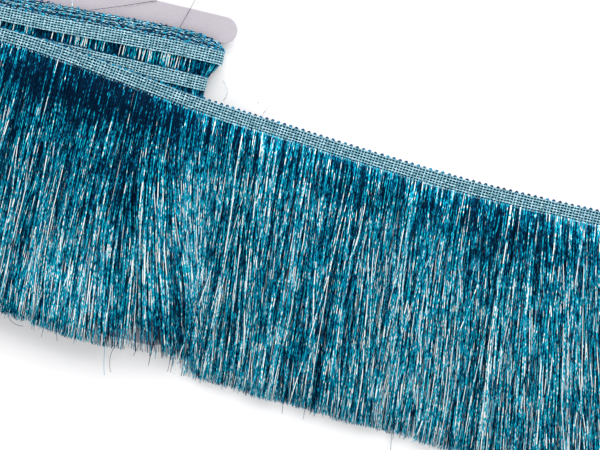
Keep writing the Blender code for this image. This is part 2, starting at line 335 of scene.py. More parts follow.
class Sum:
    """A socket that Python's own operators can take, which adds Math nodes."""

    def __init__(self, finish, socket):
        self.finish = finish
        self.socket = socket

    def _math(self, operation, *values):
        return self.finish.node("ShaderNodeMath", {"operation": operation}, values)

    def __add__(self, other):
        return self._math("ADD", self, other)

    def __radd__(self, other):
        return self._math("ADD", other, self)

    def __sub__(self, other):
        return self._math("SUBTRACT", self, other)

    def __rsub__(self, other):
        return self._math("SUBTRACT", other, self)

    def __mul__(self, other):
        return self._math("MULTIPLY", self, other)

    def __rmul__(self, other):
        return self._math("MULTIPLY", other, self)


class Finish:
    """A material under construction."""

    def __init__(self, name):
        self.material = bpy.data.materials.new(name)
        self.material.use_nodes = True
        self.tree = self.material.node_tree
        self.shader = self.tree.nodes["Principled BSDF"]

    def feed(self, socket, value):
        if isinstance(value, Sum):
            self.tree.links.new(value.socket, socket)
        else:
            socket.default_value = value

    def node(self, kind, settings, values, output=0):
        """A node with its settings, and its inputs by position or by name; gives one output."""
        made = self.tree.nodes.new(kind)
        for name, setting in settings.items():
            if name == "stops":
                self.stops(made.color_ramp, setting)
            else:
                setattr(made, name, setting)
        pairs = values.items() if isinstance(values, dict) else enumerate(values)
        for key, value in pairs:
            self.feed(made.inputs[key], value)
        return Sum(self, made.outputs[output])

    @staticmethod
    def stops(ramp, stops):
        for _ in range(len(stops) - 2):
            ramp.elements.new(0.5)
        for element, (position, colour) in zip(ramp.elements, stops):
            element.position = position
            element.color = (*colour, 1.0)

    def attribute(self, name):
        return self.node("ShaderNodeAttribute", {"attribute_name": name}, {}, "Fac")

    def vector(self, x, y, z=0.0):
        return self.node("ShaderNodeCombineXYZ", {}, (x, y, z))

    def noise(self, vector, scale, detail=2.0):
        values = {"Vector": vector, "Scale": scale, "Detail": detail}
        return self.node("ShaderNodeTexNoise", {}, values, "Fac")

    def place(self, stretch=(1.0, 1.0, 1.0)):
        """Object coordinates, stretched."""
        where = self.node("ShaderNodeTexCoord", {}, {}, "Object")
        return self.node("ShaderNodeMapping", {}, {"Vector": where, "Scale": stretch})

    def fitted(self, value, limits, onto=(0.0, 1.0)):
        """The value moved from one range to another, and kept within it."""
        ranges = dict(zip(("From Min", "From Max", "To Min", "To Max"), (*limits, *onto)))
        return self.node("ShaderNodeMapRange", {}, {"Value": value, **ranges})

    def ramp(self, value, stops):
        return self.node("ShaderNodeValToRGB", {"stops": stops}, (value,), "Color")

    def mix(self, factor, a, b):
        """Between two colours."""
        settings = {"data_type": "RGBA"}
        return self.node("ShaderNodeMix", settings, {0: factor, 6: a, 7: b}, 2)

    def bump(self, height, distance):
        values = {"Height": height, "Distance": distance}
        self.feed(self.shader.inputs["Normal"], self.node("ShaderNodeBump", {}, values, "Normal"))

    def set(self, **values):
        """The shader's sockets by name, with _ for a space."""
        for name, value in values.items():
            self.feed(self.shader.inputs[name.replace("_", " ")], value)
        return self.material


def foil_finish(name, colours, contrast=1.0, root_light=0.0):
    """Metallic chainette: stretches of painted shade, teal and painted light, with painted glints
    along each strand.
    """
    f = Finish(name)
    chance, along, tone = (f.attribute(key) for key in ("chance", "along", "tone"))
    varied = 0.0
    for grain in FOIL_GRAINS:
        where = f.vector(chance * grain.by_chance, along * grain.per_metre, grain.layer)
        varied = varied + (f.noise(where, 1.0, grain.detail) - 0.5) * grain.weight
    level = tone + varied * contrast + f.fitted(along, (ROOT_LIGHT_REACH, 0.0)) * root_light
    colour = f.ramp(level, [(place, getattr(colours, key)) for place, key in FOIL_STOPS])
    f.bump(f.noise(f.vector(chance * 91.0, along * 1400.0), 1.0), 0.1 * MM)
    return f.set(
        Base_Color=colour, Roughness=f.fitted(level, (0.3, 0.9), (0.55, 0.35)),
        Metallic=0.55, Specular_IOR_Level=0.05,
    )


def yarn_finish(colours):
    """Pale heading yarn: soft, slightly uneven, with fine twisted plies."""
    f = Finish("heading_yarn")
    chance, along = f.attribute("chance"), f.attribute("along")
    uneven = f.noise(f.vector(chance * 613.0, along * 90.0), 1.0)
    shaded = [c * share for c, share in zip(colours.yarn, YARN_SHADE)]
    pale = [min(1.0, c * YARN_PALER + YARN_WHITE) for c in colours.yarn]
    level = chance * 0.45 + uneven * 0.75
    colour = f.ramp(level, ((0.26, shaded), (0.54, colours.yarn), (0.80, pale)))
    f.bump(f.noise(f.place(), 2600.0), 0.08 * MM)
    return f.set(
        Base_Color=colour, Roughness=f.fitted(uneven, (0.0, 1.0), (0.5, 0.75)),
        Specular_IOR_Level=0.3,
    )


def shaded_ground_finish(colours):
    """What lies under the stitches and strands: the deeper yarns, painted dark as their shade, with
    fine streaks down the fringe.
    """
    f = Finish("foil_ground_painted_shade")
    streaks = f.noise(f.place((1.0, 0.04, 1.0)), 1600.0)
    dark = [0.5 * c for c in colours.shadow]
    light = [0.4 * c for c in colours.deep]
    colour = f.ramp(streaks, ((0.35, dark), (0.70, light)))
    f.bump(streaks, 0.3 * MM)
    return f.set(Base_Color=colour, Roughness=0.7, Metallic=0.5, Specular_IOR_Level=0.15)


def card_finish(colours):
    """Matt board with a lilac cast, fine fibres and a paler cut edge."""
    f = Finish("card_board")
    fibres = f.noise(f.place(), 900.0, 4.0)
    clouds = f.noise(f.place(), 18.0)
    darker, paler = ([c * share for c in colours.board] for share in (0.93, 1.05))
    board = f.ramp(fibres * 0.5 + clouds * 0.5, ((0.30, darker), (0.70, paler)))
    normal = f.node("ShaderNodeNewGeometry", {}, {}, "Normal")
    up = f.node("ShaderNodeSeparateXYZ", {}, (normal,), "Z")
    flat = f.node("ShaderNodeMath", {"operation": "ABSOLUTE"}, (up,))
    cut_edge = [min(1.0, c * 1.35) for c in colours.board] + [1.0]
    colour = f.mix(f.fitted(flat, (0.98, 0.5)), board, cut_edge)
    f.bump(fibres, 0.05 * MM)
    return f.set(Base_Color=colour, Roughness=0.7)


# Shapes


def smoothstep(t):
    t = np.clip(t, 0.0, 1.0)
    return t * t * (3 - 2 * t)


def between(value, limits):
    return smoothstep((value - limits[0]) / (limits[1] - limits[0]))


def bell(x, shape, power=2):
    return shape.height * np.exp(-(((x - shape.middle) / shape.width) ** power))


def smooth_noise(rng, count, spread):
    """Random values of about unit size that change slowly along a row."""
    reach = np.arange(-3 * spread, 3 * spread + 1)
    window = np.exp(-0.5 * (reach / spread) ** 2)
    window /= np.linalg.norm(window)
    return np.convolve(rng.normal(0, 1, count + 6 * spread), window, "valid")


def summed(steps):
    """Distances from the first point, from the steps between the points."""
    return np.concatenate((np.zeros_like(steps[..., :1]), np.cumsum(steps, axis=-1)), axis=-1)


def unit(vectors):
    return vectors / np.maximum(np.linalg.norm(vectors, axis=-1, keepdims=True), 1e-12)


def shown(name, mesh, material, replaces, smooth=True):
    """Puts a finished mesh in the scene, riding with the part, in place of its solid."""
    mesh.name = name
    mesh.materials.append(material)
    if smooth:
        mesh.shade_smooth()
    piece = bpy.data.objects.new(name, mesh)
    bpy.context.scene.collection.objects.link(piece)
    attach(piece, "root")
    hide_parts(replaces)
    return piece


class Yarns:
    """Tubes along like paths, gathered into one mesh with values that the material reads."""

    def __init__(self):
        self.points = []
        self.faces = []
        self.values = {"chance": [], "along": [], "tone": []}
        self.count = 0

    def add(self, paths, radii, up, chance, tone, sides=3):
        """paths has an axis for the tubes, one for the points along each, and one for x, y, z."""
        paths = np.asarray(paths)
        tubes, steps = paths.shape[:2]
        ahead = unit(np.gradient(paths, axis=1))
        side = unit(np.cross(ahead, np.broadcast_to(up, paths.shape)))
        over = np.cross(side, ahead)
        angles = 2 * math.pi * (np.arange(sides) + 0.25) / sides
        ring = side[:, :, None] * np.cos(angles)[:, None]
        ring = ring + over[:, :, None] * np.sin(angles)[:, None]
        radii = np.broadcast_to(radii, (tubes, steps))[:, :, None, None]
        self.points.append((paths[:, :, None] + radii * ring).reshape(-1, 3))

        grid = np.arange(tubes * steps * sides).reshape(tubes, steps, sides) + self.count
        beside = np.roll(grid, -1, axis=2)
        quads = np.stack((grid[:, :-1], grid[:, 1:], beside[:, 1:], beside[:, :-1]), axis=-1)
        self.faces += quads.reshape(-1, 4).tolist()
        self.faces += grid[:, 0].tolist()
        self.faces += grid[:, -1, ::-1].tolist()
        self.count += grid.size

        along = summed(np.linalg.norm(np.diff(paths, axis=1), axis=-1))
        tables = {"chance": np.reshape(chance, (-1, 1)), "along": along, "tone": tone}
        for key, table in tables.items():
            table = np.broadcast_to(table, (tubes, steps))
            self.values[key].append(np.repeat(table.reshape(-1), sides))

    def mesh(self):
        made = bpy.data.meshes.new("yarns")
        made.from_pydata(np.concatenate(self.points), [], self.faces)
        for key, tables in self.values.items():
            layer = made.attributes.new(key, "FLOAT", "POINT")
            layer.data.foreach_set("value", np.concatenate(tables).astype(np.float32))
        return made


def swept(sections, closed):
    """A body whose outline is extruded from one section's points to the next."""
    bm = bmesh.new()
    ring = [bm.verts.new(point) for point in sections[0]]
    start = [bm.edges.new(pair) for pair in zip(ring, ring[1:] + ring[:1])]
    edges = start
    for section in sections[1:]:
        made = bmesh.ops.extrude_edge_only(bm, edges=edges)["geom"]
        new = {v for v in made if isinstance(v, bmesh.types.BMVert)}
        ring = [
            next(e.other_vert(v) for e in v.link_edges if e.other_vert(v) in new) for v in ring
        ]
        for vertex, point in zip(ring, section):
            vertex.co = point
        edges = [e for e in made if isinstance(e, bmesh.types.BMEdge) and set(e.verts) <= new]
    if closed:
        bmesh.ops.bridge_loops(bm, edges=start + edges)
    else:
        bmesh.ops.edgeloop_fill(bm, edges=start)
        bmesh.ops.edgeloop_fill(bm, edges=edges)
    bmesh.ops.recalc_face_normals(bm, faces=bm.faces)
    mesh = bpy.data.meshes.new("ground")
    bm.to_mesh(mesh)
    bm.free()
    return mesh


# The winding's layers


def sunk(level, by):
    """The level this much nearer the card all round."""
    return Level(level.front - by, level.back + by, level.bulge - by)


def place(x, angle, level, y):
    """Points of the winding, by where they lie on the lap and the level of their layer."""
    middle, half = (level.front + level.back) / 2, (level.front - level.back) / 2
    a = np.radians(angle)
    parts = (x + level.bulge * np.cos(a), y, middle + half * np.sin(a))
    return np.stack(np.broadcast_arrays(*parts), axis=-1)


def lap_stations():
    """x and angle of places once round the card, from the left end of its front back to it."""
    flat = np.linspace(-TURN_X, TURN_X, 61)
    turn = np.linspace(90, -90, 17)[1:-1]
    x = np.concatenate((flat, 0 * turn + TURN_X, flat[::-1], 0 * turn - TURN_X, flat[:1]))
    angle = np.concatenate((0 * flat + 90, turn, 0 * flat - 90, 180 - turn[::-1], [90]))
    return x, angle


def stack_foot(x):
    return STACK_FOOT - STACK_DRIFT * between(x, (TURN_X, DRIFT_END_X))


def older_reach(x, angle, at_edge, inside):
    """How far an older heading's edge shows above the top one's: least between the tabs."""
    on_face = np.clip(2 * np.abs(np.sin(np.radians(angle))) - 1, 0, 1)
    at_turn = at_edge + (REACH_SHARE_AT_TURN * inside - at_edge) * on_face
    return at_turn + (inside - at_turn) * between(np.abs(x), (TURN_X, REACH_FADE_X))


class Lap:
    """Reads places by the distance run round the card on one level."""

    def __init__(self, level):
        self.x, angle = lap_stations()
        self.angle = np.unwrap(angle, period=360)
        points = place(self.x, self.angle, level, 0.0)
        self.run = summed(np.linalg.norm(np.diff(points, axis=0), axis=1))
        self.length = self.run[-1]

    def at(self, run):
        run = np.mod(run, self.length)
        return np.interp(run, self.run, self.x), np.interp(run, self.run, self.angle)


# A heading's yarns


class Band:
    """A heading's course. A place on it is how far along, across from its middle, and how high."""

    def __init__(self, middle, width):
        self.width = width
        self.run = summed(np.linalg.norm(np.diff(middle, axis=0), axis=1))
        self.length = self.run[-1]
        self.middle = middle
        self.ahead = unit(np.gradient(middle, axis=0))
        self.outward = unit(np.cross(self.ahead, (0, 1, 0)))
        self.across = np.cross(self.outward, self.ahead)

    def read(self, table, run):
        return np.stack([np.interp(run, self.run, table[:, i]) for i in range(3)], axis=-1)

    def at(self, run, across, height):
        run, across, height = np.broadcast_arrays(run, across, height)
        place_on = self.read(self.middle, run)
        place_on = place_on + across[..., None] * self.read(self.across, run)
        return place_on + height[..., None] * self.read(self.outward, run)

    def up(self, run):
        return self.read(self.outward, run)


def wound_band(level, width, foot):
    """The course of a heading wound round the card, from its lower edge's y at each x and angle."""
    x, angle = lap_stations()
    return Band(place(x, angle, sunk(level, HEADING_THICK), foot(x, angle) + width / 2), width)


def stitch_runs(band, sizes):
    count = int(band.length / sizes.stitch)
    return (np.arange(count) + 0.5) * band.length / count


def add_chains(yarns, band, sizes, rows, rng, uneven=UNEVEN):
    """Chain stitches in rows along the band: each stitch is a loop of two legs."""
    runs = stitch_runs(band, sizes)
    each = (len(runs), 1)
    lowest = EDGE_ROW - band.width / 2
    row_pitch = (band.width - sizes.picot_rise - 2 * EDGE_ROW) / (sizes.chain_rows - 1)
    apart = LEG_SPREAD[0] + LEG_SPREAD[1] * np.sin(math.pi * LEG_SHARES / 1.3)
    rise = LEG_RISE[0] + LEG_RISE[1] * np.sin(math.pi * np.clip(LEG_SHARES, 0, 1))
    for row in rows:
        middle = lowest + row * row_pitch
        for hand in (-1, 1):
            shift = rng.normal(0, uneven, each)
            run = runs[:, None] + (LEG_SHARES - 0.5) * sizes.stitch
            run = run + rng.normal(0, uneven, each)
            height = np.minimum(rise + rng.normal(0, 0.03 * MM, each), HEADING_THICK - LEG_RADII)
            paths = band.at(run, middle + shift + hand * apart, height)
            yarns.add(paths, LEG_RADII, band.up(run), rng.random(len(runs)), 0.5)


def add_bars(yarns, band, sizes, rng):
    """Cross yarns below the chains, nearly half of them a little raised."""
    runs = stitch_runs(band, sizes)
    each = (len(runs), 1)
    share = np.linspace(0, 1, 5)
    raised = rng.random(each) < RAISED_BARS
    run = runs[:, None] + rng.normal(0, 0.10 * MM, each) + (share - 0.5) * BAR_SLANT
    across = 0.1 * MM - band.width / 2 + (band.width - sizes.picot_rise) * share
    height = np.where(raised, *BAR_HEIGHTS) + rng.normal(0, 0.04 * MM, (len(runs), 5))
    paths = band.at(run, across, height)
    chance = 0.35 + 0.3 * rng.random(each) + 0.1 * raised
    yarns.add(paths, np.where(raised, *BAR_RADII), band.up(run), chance, 0.5)


def add_picots(yarns, band, sizes, rng, tone=PICOT_TONE, messy=0.0):
    """Loops of the metallic strand round the heading's upper edge, one for two stitches. Messy
    ones are thinner, and vary more."""
    runs = stitch_runs(band, sizes)[::2] + sizes.stitch / 2
    each = (len(runs), 1)
    turn = np.linspace(0, math.pi, 6)
    size = 1 + rng.normal(0, 0.08 + 0.3 * messy, each)
    tilt = rng.normal(0, 0.1 + 0.6 * messy, each)
    reach = sizes.picot_rise * size * np.sin(turn)
    run = runs[:, None] - PICOT_HALF_WIDTH * np.cos(turn) + tilt * reach
    across = band.width / 2 - sizes.picot_rise - 0.35 * MM + reach
    height = (0.55 + messy * rng.normal(0, 0.3, each)) * MM + 0.15 * MM * np.sin(turn)
    height = np.clip(height, 0.3 * MM, HEADING_THICK - PICOT_RADIUS)
    paths = band.at(run, across, height)
    tones = tone + rng.normal(0, 0.06, each)
    radius = PICOT_RADIUS * (1 - 0.3 * messy)
    yarns.add(paths, radius, band.up(run), rng.random(len(runs)), tones, sides=4)


def add_heading(yarns, picots, band, sizes, rng, **looks):
    """All the yarns of a heading that shows in full."""
    add_chains(yarns, band, sizes, range(sizes.chain_rows), rng)
    add_bars(yarns, band, sizes, rng)
    add_picots(picots, band, sizes, rng, **looks)


# The loose end's course


def course_y(x):
    """Where the loose heading's centre line lies: a smooth curve through COURSE."""
    xs, ys = (np.array(column) for column in zip(*COURSE))
    last = len(xs) - 1
    before = np.maximum(np.arange(len(xs)) - 1, 0)
    after = np.minimum(np.arange(len(xs)) + 1, last)
    slopes = (ys[after] - ys[before]) / (xs[after] - xs[before])
    i = np.clip(np.searchsorted(xs, x) - 1, 0, last - 1)
    span = xs[i + 1] - xs[i]
    t = (x - xs[i]) / span
    return (
        ys[i] * (2 * t**3 - 3 * t**2 + 1)
        + ys[i + 1] * (3 * t**2 - 2 * t**3)
        + span * slopes[i] * (t**3 - 2 * t**2 + t)
        + span * slopes[i + 1] * (t**3 - t**2)
    )


def heading_rest(x):
    return LAST_UNDER.front * between(x, (HEADING_LANDS_X, DROP_START_X))


def fringe_rest(x):
    """Height of what the strands lie on: the winding, the slope past its edge, or the surface."""
    return FRINGE_REST * between(x, (FRINGE_LANDS_X, DROP_START_X))


def loose_band(width):
    """The loose heading's course: round the left edge, across the front, down to the surface."""
    angle = np.linspace(LAST_START_ANGLE, 90, 16)
    turn = place(-TURN_X, angle, LAST_UNDER, COURSE[0].y)
    x = np.linspace(COURSE[0].x, COURSE[-1].x, 220)[1:]
    run = np.stack((x, course_y(x), heading_rest(x)), axis=-1)
    return Band(np.concatenate((turn, run)), width)


def lean(x, share):
    """Degrees that a strand with this root leans towards +X, this share of the way along it."""
    over_card, beside_card = (
        ends.root + (ends.end - ends.root) * share for ends in (LEAN_OVER_CARD, LEAN_BESIDE_CARD)
    )
    beside = between(x, LEAN_TURNS_X)
    fan = bell(x, Bell(FAN_LEAN, FAN_X, np.where(x < FAN_X, *FAN_WIDTHS)))
    fan = fan * smoothstep(2.2 * share)
    return over_card + (beside_card - over_card) * beside + fan + FAR_LEAN * between(x, FAR_X)


def patch_light_shade_and_tone(x, y):
    """What the soft patches of painted shade, painted light and tone add to the tone at a place."""
    tone = 0.0
    for p in LIGHT_SHADE_AND_TONE_PATCHES:
        near = ((x / MM - p.x) / p.half_width) ** 2 + ((y / MM - p.y) / p.half_height) ** 2
        tone = tone + p.change * np.exp(-near)
    return tone


def strand_lengths(sizes, centre, by_stitch, by_lock, rng):
    """How long the strands are: ragged, a few longer, and shorter where the cut ends lack."""
    each = centre.shape
    uneven = RAGGED * rng.random(each) + 0.5 * MM * (by_stitch[0] + by_lock[0])
    short = bell(centre, FAN_SHORT) * rng.uniform(0.3, 1.6, each)
    length = sizes.fringe_length + 1.0 * MM - uneven - short - bell(centre, HOLLOW)
    longer = rng.random(each) < LONGER_SHARE
    length = np.where(longer, length + rng.uniform(*LONGER_BY, each), length)
    thinned = rng.random(each) < bell(centre, THIN_TIPS, power=4)
    return np.where(thinned, length - rng.uniform(*THINNED_BY, each), length)


def strand_angles(centre, share, under, by_stitch, by_lock, rng):
    """Degrees that each strand leans along its way. Those underneath wander less."""
    each = centre.shape
    strays = rng.random(each) < STRAY_SHARE
    stray = np.where(strays, *(rng.normal(0, degrees, each) for degrees in STRAY_LEANS))
    wave = STITCH_WAVE * by_stitch[1] * np.sin(2 * math.pi * (share * 1.1 + by_stitch[2]))
    sweep = LOCK_SWEEP * by_lock[1] * np.sin(math.pi * (share * 1.4 + 0.5 * by_lock[2]))
    wiggle = rng.normal(0, OWN_WIGGLE, each)
    wiggle = wiggle * np.sin(2 * math.pi * (share * 2.8 + rng.random(each)))
    wander = np.where(under, 0.3, 1.0) * (wave + wiggle + stray) + sweep
    return lean(centre, share) + wander * smoothstep(share * 5)


def loose_strands(sizes, start_x, end_x, rng, points=12):
    """Strands from under the heading's lower edge to the cut ends, gathered by stitch. A few of
    each stitch's lie evenly underneath, so that no surface shows between the others. A value has
    a row for each strand, and a column for each point along it or one for them all."""
    stitches = int((end_x - start_x) / sizes.stitch)
    per = sizes.strands_per_stitch
    stitch = np.repeat(np.arange(stitches), per)
    each = (len(stitch), 1)
    turn_taken = np.tile(np.arange(per), stitches)[:, None]
    under = turn_taken < UNDER_STRANDS
    centre = start_x + (stitch[:, None] + 0.5) * (end_x - start_x) / stitches
    even = ((turn_taken + 0.5) / UNDER_STRANDS - 0.5) * sizes.stitch
    offset = np.where(under, even, rng.uniform(-0.75, 0.75, each) * sizes.stitch)
    share = np.linspace(0, 1, points)
    by_stitch = rng.normal(0, 1, (6, stitches))[:, stitch, None]
    by_lock = np.array([smooth_noise(rng, stitches, 3) for _ in range(4)])[:, stitch, None]

    length = strand_lengths(sizes, centre, by_stitch, by_lock, rng)
    angle = strand_angles(centre, share, under, by_stitch, by_lock, rng)
    step = length / (points - 1)
    turned = np.radians((angle[:, 1:] + angle[:, :-1]) / 2)
    x = centre + summed(step * np.sin(turned))
    x = x + offset * np.where(under, 1.0, 0.45 + 0.55 * smoothstep(share * 6))
    root_y = course_y(centre) - sizes.heading_width / 2 + ROOT_OVERLAP
    y = root_y - summed(step * np.cos(turned))

    settled = smoothstep(share * length / SETTLE_LENGTH)
    lifted = heading_rest(centre) - fringe_rest(centre)
    layer = np.where(under, 0.0, rng.random(each))
    ripple = 0.12 * MM * np.sin(2 * math.pi * (share * 3 + rng.random(each)))
    beside = between(centre, PILE_X)
    rise = (PILE_RISE + PILE_RISE_BESIDE * beside) * smoothstep(share * (2.5 - 1.2 * beside))
    pile = (PILE_FOOT + rise) * (1 + 0.15 * by_lock[2].clip(-1, 1))
    z = fringe_rest(x) + lifted * (1 - settled) + 0.30 * MM + pile * layer + ripple
    root_drop = 0.45 * MM * (1 - smoothstep(share * 8)) * layer
    past_rim = smoothstep((WOUND_END_Y - y) / RIM_SLOPE) * between(x, RIM_X)
    bold = (rng.random(each) < BOLD_SHARE) & ~under
    thick = sizes.strand_thickness / 2 * rng.uniform(0.7, 1.1, each) * np.where(bold, 1.4, 1.0)
    z = np.maximum(z - root_drop - RIM_DROP * past_rim, thick + 0.02 * MM)

    # The patches add painted shade, painted light and tone by place
    tone = MEAN_TONE + patch_light_shade_and_tone(x, y) + 0.03 * by_lock[3] + 0.04 * by_stitch[3]
    # Painted shade on the lower strands, at the tips and just below the heading; bold strands
    # painted paler as light
    tone = tone - LOW_PAINTED_SHADE * (1 - layer) + BOLD_PAINTED_LIGHT * bold
    tone = tone + rng.normal(0, TONE_SPREAD, each) - TIP_PAINTED_SHADE * smoothstep((share - 0.85) / 0.15)
    tone = tone - bell(share, NECK_PAINTED_SHADE)
    radii = thick * (1 - 0.45 * smoothstep((share - 0.97) / 0.03))
    return centre[:, 0], np.stack((x, y, z), axis=-1), radii, rng.random(len(stitch)), tone


# The winding's strands


def fringe_end(x, rng):
    """Where wound strands end: ragged, and drawn up towards the card's edges."""
    rise = WOUND_END_RISE * between(np.abs(x), (WOUND_END_RISES_X, TURN_X))
    return WOUND_END_Y + rise + rng.uniform(*WOUND_RAGGED, x.shape)


def add_wound_strands(yarns, levels, top, end, layer, rng, radius, tone, spread, sway, points=6):
    """Strands that lie straight down the winding, all round the card, from one level to another,
    each at its own depth within the spread."""
    levels = [sunk(level, layer.depth) for level in levels]
    lap = Lap(levels[0])
    each = (layer.count, 1)
    run = np.arange(layer.count)[:, None] + rng.uniform(-0.5, 0.5, each)
    share = np.linspace(0, 1, points)
    level = Level(*(a + (b - a) * share for a, b in zip(*levels)))
    wander = rng.normal(0, sway, each) * np.sin(math.pi * (share * 1.5 + rng.random(each)))
    x, angle = lap.at(run * lap.length / layer.count + wander)
    first, last = top(x[:, :1]), end(x[:, :1], angle[:, :1])
    y = first + (last - first) * share
    lift = rng.uniform(-1, 0, each) * spread
    a = np.radians(angle)
    outward = np.stack((np.cos(a), 0 * a, np.sin(a)), axis=-1)
    paths = place(x, angle, level, y) + lift[..., None] * outward
    tones = tone(x[:, :1]) + rng.normal(0, WOUND_TONE_SPREAD, each)
    # Painted shade on the strands that lie deeper
    tones = tones - SUNK_PAINTED_SHADE * (lift < -0.5 * spread)
    radii = layer.thickness * radius * rng.uniform(0.8, 1.2, each)
    yarns.add(paths, radii, outward, rng.random(layer.count), tones)


def stray_paths():
    """Loose threads that show against the card and the surface: where each starts, bends towards
    and ends, in millimetres, and its tone."""
    top = CARD_TOP / MM + 0.5
    floor = 0.3
    return (
        ((63.5, 96.9, top), (61.5, 89.0, top), (58.9, 80.0, 13), 0.05),
        ((43.5, 91.8, top), (25.5, 84.3, top), (9.0, 78.0, 12), 0.05),
        ((-4.0, 84.0, top), (-1.5, 82.0, top + 1), (-0.6, 78.0, 13), 0.95),
        ((88.3, 57.9, floor), (94.5, 53.0, 2), (90.8, 47.4, floor), 0.95),
        ((109.1, 50.5, floor), (118.0, 53.0, 2), (113.7, 45.5, floor), 0.95),
        ((66.1, -94.4, 14), (61.0, -100.5, 12), (65.3, -111.0, 9), 0.05),
        ((59.2, -97.0, 14), (60.0, -105.0, 12), (62.4, -113.4, 9), 0.60),
        ((31.6, -94.0, 14), (32.0, -98.0, 12), (33.3, -101.3, 10), 0.05),
        ((16.9, -89.0, 14), (17.4, -94.0, 13), (18.5, -98.0, 12), 0.15),
        ((4.1, -94.0, 10), (7.0, -98.6, 8), (13.2, -97.6, 8), 0.30),
        ((77.6, -91.0, 13), (76.6, -95.0, 12), (75.4, -99.3, 11), 0.05),
        ((82.4, -88.5, 12), (83.4, -92.0, 11), (84.8, -96.1, 10), 0.05),
        ((71.6, -91.0, 13), (72.7, -92.5, 12), (74.6, -94.8, 12), 0.05),
        ((113.0, -99.0, 3), (113.6, -103.0, 2), (114.0, -106.0, 1), 0.30),
        ((160.0, -103.0, 3), (161.0, -108.0, 2), (161.5, -112.0, 1), 0.30),
        ((222.0, -108.0, 3), (223.0, -113.0, 2), (224.0, -119.0, 1), 0.30),
    )


# Operators


def sizes_and_colours(context):
    return context.scene.trim_sizes, context.scene.trim_colours


class TRIM_OT_card(bpy.types.Operator):
    """Give the card its matt board, with fibres and a paler cut edge"""

    bl_idname = "trim.card"
    bl_label = "Finish the Card"

    def execute(self, context):
        _, colours = sizes_and_colours(context)
        materials = bpy.data.objects["card"].data.materials
        materials.clear()
        materials.append(card_finish(colours))
        return {"FINISHED"}


class TRIM_OT_winding(bpy.types.Operator):
    """Make the wound turns: a ground painted dark as shade, and strands of fringe all round"""

    bl_idname = "trim.winding"
    bl_label = "Wind the Fringe"

    def execute(self, context):
        sizes, colours = sizes_and_colours(context)
        self.make_ground(sizes, colours)
        rng = np.random.default_rng(11)
        yarns = Yarns()
        radius = sizes.strand_thickness / 2

        def older_tone(x):
            chosen = rng.random(x.shape)
            pale, teal, dark = OLDER_TONES
            share = OLDER_SHARES[0] + bell(x, OLDER_PALE_SPOT)
            tone = np.select((chosen < share, chosen < share + OLDER_SHARES[1]), (pale, teal), dark)
            return np.where(x > OLDER_EVEN_X, OLDER_EVEN_TONE, tone)

        def outer_end(x, angle):
            end = fringe_end(x, rng)
            z = place(x, angle, OUTER_FRINGE, 0.0)[..., 2]
            beside_tab = (np.abs(x) >= TURN_X - MM) & (z > TAB_NECK_Z[0]) & (z < TAB_NECK_Z[1])
            return np.where(beside_tab, TAB_NECK_Y, end)

        for layer, tone in ((OLDER_DEEP_LAYER, lambda x: OLDER_DEEP_TONE),
                            (OLDER_TOP_LAYER, older_tone)):
            add_wound_strands(yarns, (OLDER_FRINGE_TOP, OLDER_FRINGE),
                              lambda x: stack_foot(x) + 1.5 * MM,
                              lambda x, angle: OUTER_FOOT + 6 * MM, layer, rng, radius, tone,
                              spread=0.15 * MM, sway=0.2 * MM, points=4)
        for layer in OUTER_LAYERS:
            add_wound_strands(yarns, (OUTER_FRINGE, OUTER_FRINGE),
                              lambda x: OUTER_FOOT + 1.5 * MM, outer_end, layer, rng, radius,
                              lambda x: OUTER_TONE, spread=0.4 * MM, sway=0.6 * MM)
        foil = foil_finish("wound_foil", colours, WOUND_CONTRAST)
        shown("wound_strands", yarns.mesh(), foil, "winding")
        return {"FINISHED"}

    def make_ground(self, sizes, colours):
        fringe = sunk(OUTER_FRINGE, FRINGE_GROUND_DEPTH)
        outer = sunk(OUTER_HEADING, HEADING_GROUND_DEPTH)
        stacked = sunk(STACKED_HEADING, HEADING_GROUND_DEPTH)
        outer_edge = OUTER_FOOT + sizes.heading_width
        sections = []
        for x, angle in list(zip(*lap_stations()))[:-1]:
            foot = stack_foot(x)
            top = foot + sizes.heading_width
            drawn_in = between(abs(x), GROUND_DRAWN_IN_X)
            end = GROUND_END_Y + (TAB_NECK_Y - GROUND_END_Y) * drawn_in
            outline = [
                (INSIDE, end),
                (sunk(fringe, 0.5 * MM), end),
                (fringe, end + 4 * MM),
                (fringe, OUTER_FOOT + 0.5 * MM),
                (outer, OUTER_FOOT + 0.7 * MM),
                (outer, outer_edge - 0.5 * MM),
                (sunk(OLDER_FRINGE, 0.6 * MM), outer_edge - 0.3 * MM),
                (sunk(OLDER_FRINGE_TOP, 1.0 * MM), foot + 0.5 * MM),
                (stacked, foot + 0.7 * MM),
                (stacked, top - 0.5 * MM),
            ]
            for k, reaches in enumerate(zip(OLDER_REACHES_AT_EDGE, OLDER_REACHES)):
                level = sunk(STACKED_HEADING, HEADING_THICK * (k + 1) + 0.3 * MM)
                edge = top + older_reach(x, angle, *reaches) - 0.6 * MM
                outline.append((level, edge - 0.15 * MM))
                outline.append((sunk(level, 0.9 * MM), edge))
            innermost = older_reach(x, 0.0, INSIDE_REACH_AT_EDGE, OLDER_REACHES[-1]) - 0.5 * MM
            outline.append((INSIDE, top + innermost))
            sections.append([place(x, angle, level, y).tolist() for level, y in outline])
        mesh = swept(sections, closed=True)
        shown("winding_ground", mesh, shaded_ground_finish(colours), "winding", smooth=False)


